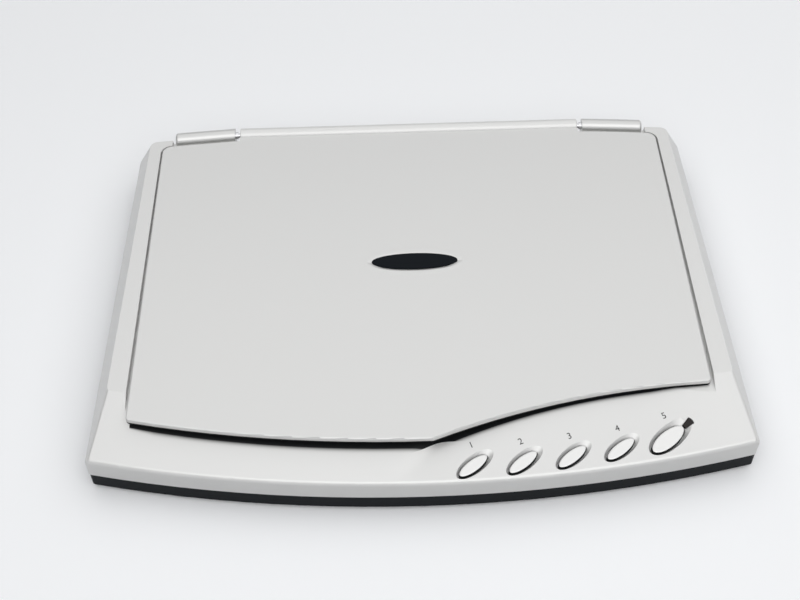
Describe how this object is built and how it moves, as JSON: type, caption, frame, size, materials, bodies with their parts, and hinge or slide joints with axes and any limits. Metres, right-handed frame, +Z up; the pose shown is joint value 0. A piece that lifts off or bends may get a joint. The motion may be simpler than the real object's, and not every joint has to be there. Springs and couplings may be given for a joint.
{
  "type": "business card scanner",
  "caption": "Slim flatbed scanner with a hinged cover over a glass window, a sloping front deck with a row of press buttons, and a belt-driven sensor bar inside.",
  "frame": {"origin": "on the table under the middle of the scanner", "axes": "+X to the right along the long side, +Y to the back where the hinge is, +Z up"},
  "size_m": [0.2306, 0.1786, 0.0267],
  "materials": {
    "housing": "silver-white painted plastic shell, fine satin",
    "cover": "silver-grey satin paint",
    "tray": "black moulded plastic, fine texture",
    "glass": "clear float glass",
    "white_plastic": "plain white",
    "foam": "white foam sheet",
    "rubber": "matt black",
    "screw_steel": "zinc plated",
    "pin_steel": "ground bright steel",
    "buttons": "silver-grey satin",
    "board": "green solder mask",
    "chips": "black moulded packages",
    "plunger": "dull red",
    "socket_metal": "plated sheet steel",
    "lens": "smoked dark plastic",
    "led": "clear moulded plastic",
    "badge": "near-black gloss, bare",
    "inner_black": "black glass-filled plastic",
    "gear_nylon": "natural nylon",
    "brass": "turned brass",
    "belt": "black toothed belt drawn smooth",
    "spring_steel": "bright spring steel",
    "ribbon": "white flat cable",
    "leads": "flat loom of insulated wires"
  },
  "bodies": {
    "base": {"base_tray": "tray", "top_housing": "housing", "platen_glass": "glass", "calibration_strip": "white_plastic", "rubber_feet": "rubber", "case_screws": "screw_steel", "left_hinge_barrel": "housing", "right_hinge_barrel": "housing", "left_hinge_pin": "pin_steel", "right_hinge_pin": "pin_steel", "lid_bumpers": "rubber", "main_board": "board", "board_components": "chips", "usb_socket": "socket_metal", "button_board": "board", "tact_switches": "chips", "status_lens": "lens", "status_led": "led", "guide_rod": "pin_steel", "rod_clips": "inner_black", "stepper_motor": "socket_metal", "drive_bracket": "socket_metal", "gear_axle": "pin_steel", "idler_bracket": "socket_metal", "idler_axle": "pin_steel", "timing_belt": "belt", "flat_cable": "ribbon", "motor_leads": "leads"},
    "cover": {"lid_shell": "cover", "lid_liner": "white_plastic", "lid_pad": "foam", "lid_badge": "badge", "hinge_bar": "housing"},
    "button_one": {"function_button_1": "buttons", "switch_plunger_1": "plunger"},
    "button_two": {"function_button_2": "buttons", "switch_plunger_2": "plunger"},
    "button_three": {"function_button_3": "buttons", "switch_plunger_3": "plunger"},
    "button_four": {"function_button_4": "buttons", "switch_plunger_4": "plunger"},
    "button_scan": {"scan_button": "buttons", "switch_plunger_5": "plunger"},
    "carriage": {"carriage_frame": "inner_black", "sensor_housing": "inner_black", "sensor_board": "board", "sensor_glass": "glass", "rod_lens_array": "led", "light_guide": "led", "slide_pads": "gear_nylon", "carriage_springs": "spring_steel", "rod_bushes": "brass", "belt_clamp": "inner_black"},
    "drive_wheel": {"drive_gear": "gear_nylon"},
    "idler_wheel": {"idler_pulley": "gear_nylon"},
    "motor_rotor": {"motor_shaft": "pin_steel", "motor_pinion": "brass"}
  },
  "joints": [
    {"name": "lid_hinge", "type": "hinge", "parent": "base", "child": "cover", "pos_m": [0, 0.0848, 0.0237], "axis": [-1, 0, 0], "range_deg": [0, 100]},
    {"name": "press_one", "type": "slide", "parent": "base", "child": "button_one", "axis": [-0.0231, 0.2322, -0.9724], "range_m": [0, 0.0008], "stiffness_N_per_m": 900, "springref_m": -0.0003},
    {"name": "press_two", "type": "slide", "parent": "base", "child": "button_two", "axis": [-0.0231, 0.2322, -0.9724], "range_m": [0, 0.0008], "stiffness_N_per_m": 900, "springref_m": -0.0003},
    {"name": "press_three", "type": "slide", "parent": "base", "child": "button_three", "axis": [-0.0231, 0.2322, -0.9724], "range_m": [0, 0.0008], "stiffness_N_per_m": 900, "springref_m": -0.0003},
    {"name": "press_four", "type": "slide", "parent": "base", "child": "button_four", "axis": [-0.0231, 0.2322, -0.9724], "range_m": [0, 0.0008], "stiffness_N_per_m": 900, "springref_m": -0.0003},
    {"name": "press_scan", "type": "slide", "parent": "base", "child": "button_scan", "axis": [-0.0231, 0.2322, -0.9724], "range_m": [0, 0.0008], "stiffness_N_per_m": 900, "springref_m": -0.0003},
    {"name": "carriage_travel", "type": "slide", "parent": "base", "child": "carriage", "axis": [1, 0, 0], "range_m": [0, 0.1604], "deforming": ["flat_cable"]},
    {"name": "drive_wheel_spin", "type": "hinge", "parent": "base", "child": "drive_wheel", "pos_m": [-0.094, -0.059, 0.01], "axis": [0, 1, 0], "range_deg": [0, 2040]},
    {"name": "idler_spin", "type": "hinge", "parent": "base", "child": "idler_wheel", "pos_m": [0.097, -0.059, 0.01], "axis": [0, 1, 0], "range_deg": [0, 2040]},
    {"name": "rotor_spin", "type": "hinge", "parent": "base", "child": "motor_rotor", "pos_m": [-0.10186, -0.059, 0.0115], "axis": [0, 1, 0], "range_deg": [-6100, 0]}
  ],
  "couplings": [
    {"joint": "drive_wheel_spin", "follows": "carriage_travel", "rad_per_m": 220.75},
    {"joint": "idler_spin", "follows": "carriage_travel", "rad_per_m": 220.75},
    {"joint": "rotor_spin", "follows": "carriage_travel", "rad_per_m": -662.25}
  ]
}
